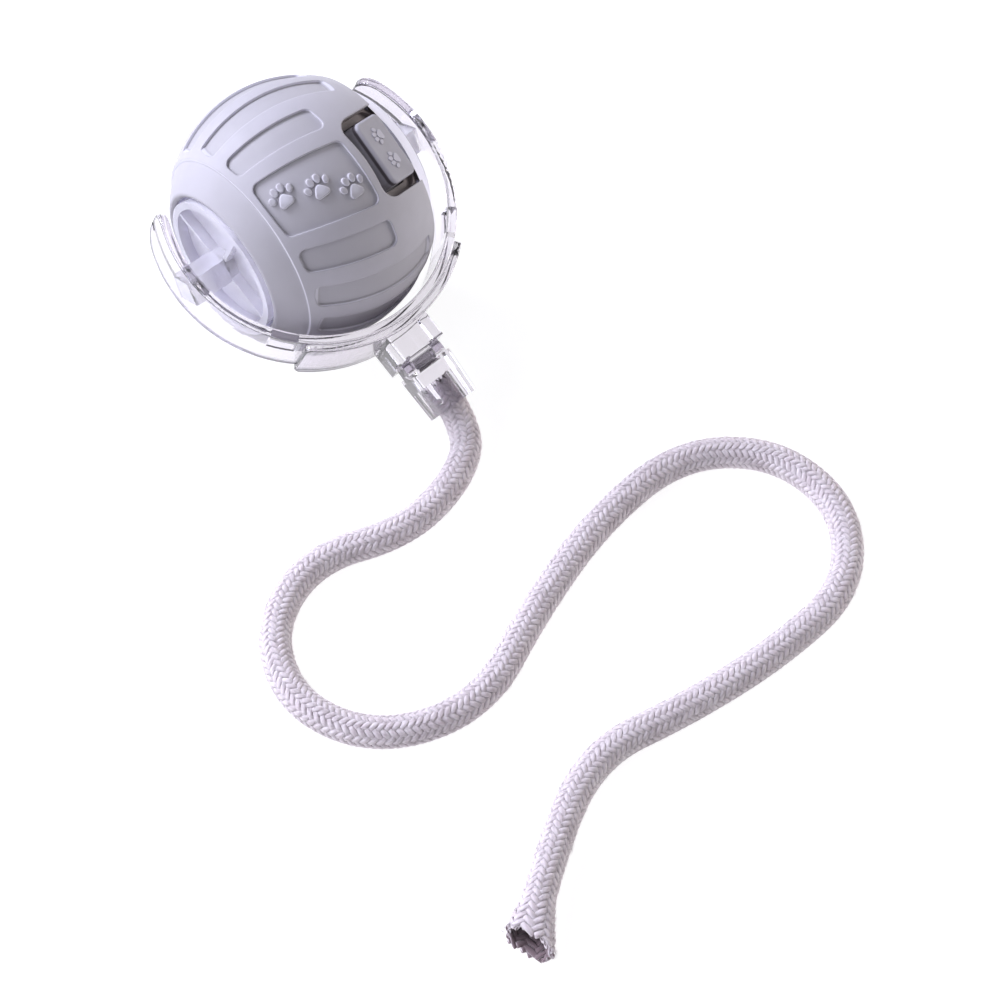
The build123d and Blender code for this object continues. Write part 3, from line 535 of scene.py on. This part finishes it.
def braided_cotton(name, pale, dark, seam, inside):
    """Carded cotton yarn in a braid: no gloss, a soft bright fuzz, light that wanders about a millimetre through the
    fibres, three plies that twist round each strand with darker seams between them, and slubs 2.4 mm long that are
    paler or more mauve. The side that a strand turns to the rope's middle has the inside colour, painted darker as
    painted shade, which shows only in the open end."""
    ply_count, ply_pitch = 3, 1.1
    made, tree, place = begin(name)
    yarn = add(tree, "SeparateXYZ", Vector=add(tree, "TexCoord").outputs["UV"])
    round_share, distance = yarn.outputs[0], yarn.outputs[1]
    twist = add(
        tree, "Math", {"operation": "MULTIPLY_ADD"},
        in_0=distance, in_1=2 * math.pi / ply_pitch, in_2=times(tree, round_share, ply_count * 2 * math.pi),
    )
    plies = sine_of(tree, twist.outputs[0])
    slubs = stretched(tree, speckle(tree, place, 2.4, 4.0), 0.32, 0.68)
    seams = stretched(tree, plies, -1.0, 0.2, 0.35, 0.0)
    shaded = blended(tree, seams, blended(tree, slubs, pale, dark), seam)
    outward = sine_of(tree, times(tree, round_share, 2 * math.pi))
    # Painted shade: the side of each strand turned to the rope's middle takes the darker inside colour.
    inside_shaded = blended(tree, stretched(tree, outward, -0.45, 0.05, 1.0, 0.0), shaded, inside)
    hairs = speckle(tree, place, 0.16, 4.0)
    height = add(tree, "Math", {"operation": "MULTIPLY_ADD"}, in_0=plies, in_1=0.5, in_2=hairs)
    end(tree, add(
        tree, "BsdfPrincipled", Base_Color=inside_shaded, IOR=1.5, Specular_IOR_Level=0.2,
        Roughness=stretched(tree, hairs, 0.3, 0.7, 0.82, 0.95), Sheen_Weight=0.30, Sheen_Roughness=0.45,
        Subsurface_Weight=0.40, Subsurface_Radius=(1.0, 0.9, 0.95), Subsurface_Scale=0.0009,
        Normal=bumped(tree, height.outputs[0], 0.05, 0.5),
    ))
    return made


# The sleeve's third colour is painted shade in its low places, and its fourth is a painted highlight on its upper
# walls.
silicone = moulded_silicone("lilac_grey_silicone_moulded", "#ACA9B2", "#A7A4AC", "#9C999F", "#C4C2CD", 0.60, 0.38)
# The key's third colour is painted shade on its flanks, and its fourth is a painted highlight on its marks.
key_silicone = key_rubber("grey_key_silicone_moulded", "#A4A1AB", "#9F9CA6", "#4A444A", "#BBB8C4")
clear = clear_polycarbonate("clear_polycarbonate_moulded", "#EFEBF2", 0.015, 0.97, 1.0)
milky = clear_polycarbonate("milky_polycarbonate_moulded", "#F8F6FF", 0.03, 0.50, 0.76)
shell_plastic = moulded_plastic("lilac_abs_shell_moulded", "#E9E7F7", "#E2E0F0", 0.42)
black_plastic = moulded_plastic("black_nylon_switch_moulded", "#1B1B1E", "#232327", 0.45)
# The shell's third colour is painted shade in the well under the key.
welled_shell = welled_plastic("lilac_abs_shell_welled", "#E9E7F7", "#E2E0F0", "#7C7375")
gear_plastic = moulded_plastic("white_acetal_gear_moulded", "#E8E6DE", "#DFDCD2", 0.35, 1.48, 0.5)
battery_film = moulded_plastic("blue_pvc_battery_film_shrunk", "#2F6FA8", "#2A6499", 0.25, 1.54, 1.5)
led_lens = moulded_plastic("milky_epoxy_led_lens_cast", "#E9EDF2", "#DDE3EA", 0.2, 1.5, 0.4)
steel = worked_metal("steel_pin_drawn", "#C4C4C8", "#B2B2B8", 0.30, (0.15, 1, 1))
motor_steel = worked_metal("zinc_plated_motor_can_drawn", "#BDBDC0", "#A6A6AC", 0.33, (0.15, 1, 1))
port_steel = worked_metal("nickel_plated_socket_pressed", "#CFCDC8", "#BBB8B2", 0.24, (1, 0.2, 1))
board_green = solder_masked_board("green_circuit_board_lacquered")
# The last colour of each cotton is painted shade, on the side of a strand turned to the rope's middle.
cotton = braided_cotton("lilac_grey_cotton_braided", "#D6CDD3", "#C8BDC3", "#ABA0A5", "#7A6A70")
loose_cotton = braided_cotton("lilac_grey_cotton_carded", "#D9D0D6", "#CCC1C7", "#B6ABB0", "#BBB0B6")

finishes = {
    "sleeve": silicone, "power_key": key_silicone, "shell_near": shell_plastic, "shell_far": welled_shell,
    "yoke": clear, "hub_near": milky, "hub_far": milky, "tail_bracket": clear, "tail_holder": clear,
    "shell_screws": steel, "main_axle": gear_plastic, "gear_pin": steel, "hinge_pin": clear, "motor": motor_steel,
    "usb_c_socket": port_steel, "axle_bushes": gear_plastic, "chassis": shell_plastic, "switch_plunger": black_plastic,
    "tact_switch": black_plastic, "battery": battery_film, "main_board": board_green, "switch_board": board_green,
    "status_led": led_lens, "motor_pinion": gear_plastic, "compound_gear": gear_plastic, "output_gear": gear_plastic,
    "tail_rope": cotton,
}
for node, finish in finishes.items():
    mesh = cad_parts[node].data
    mesh.materials.clear()
    mesh.materials.append(finish)
for piece, finish in zip(rope_pieces, (cotton, cotton, loose_cotton, loose_cotton)):
    piece.data.materials.append(finish)


# Floor and light
def plain_floor():
    """A flat pale square far larger than the view: white acrylic lit from below, which leaves hardly a shadow."""
    mesh = bpy.data.meshes.new("floor")
    half = 3
    mesh.from_pydata([(-half, -half, 0), (half, -half, 0), (half, half, 0), (-half, half, 0)], [], [(0, 1, 2, 3)])
    made, tree, place = begin("backlit_white_acrylic")
    end(tree, add(
        tree, "BsdfPrincipled", Base_Color=blended(tree, speckle(tree, place, 40), "#9C9C9E", "#98989A"),
        Roughness=0.9, Specular_IOR_Level=0.1, Emission_Color=(1, 1, 1, 1), Emission_Strength=0.84,
    ))
    mesh.materials.append(made)
    floor = bpy.data.objects.new("floor", mesh)
    bpy.context.scene.collection.objects.link(floor)


def soft_lamp(name, place, size, power, colour):
    """A square lamp that faces the middle of the ball."""
    lamp_data = bpy.data.lights.new(name, "AREA")
    lamp_data.shape, lamp_data.size = "SQUARE", size
    lamp_data.energy, lamp_data.color = power, linear(colour)[:3]
    lamp = bpy.data.objects.new(name, lamp_data)
    bpy.context.scene.collection.objects.link(lamp)
    x, y, z = np.array(place) - np.array(ball_middle)
    lamp.location = place
    lamp.rotation_euler = (math.atan2(math.hypot(x, y), z), 0, math.atan2(y, x) + math.pi / 2)


plain_floor()
soft_lamp("key_lamp", (-0.28, 0.72, 0.62), 0.55, 16.0, "#EDF0FF")
soft_lamp("side_lamp", (-0.80, 0.10, 0.42), 0.6, 4.6, "#EEF0FF")
soft_lamp("rim_lamp", (0.70, -0.30, 0.12), 0.4, 3.6, "#FFFAF6")
soft_lamp("top_lamp", (-0.05, -0.08, 0.95), 0.5, 1.2, "#F4F4FF")
world = bpy.data.worlds.new("studio")
world.use_nodes = True
sky = world.node_tree.nodes["Background"]
sky.inputs["Color"].default_value = linear("#FFFFFF")
sky.inputs["Strength"].default_value = 0.20
bpy.context.scene.world = world
bpy.context.scene.view_settings.view_transform = "Standard"
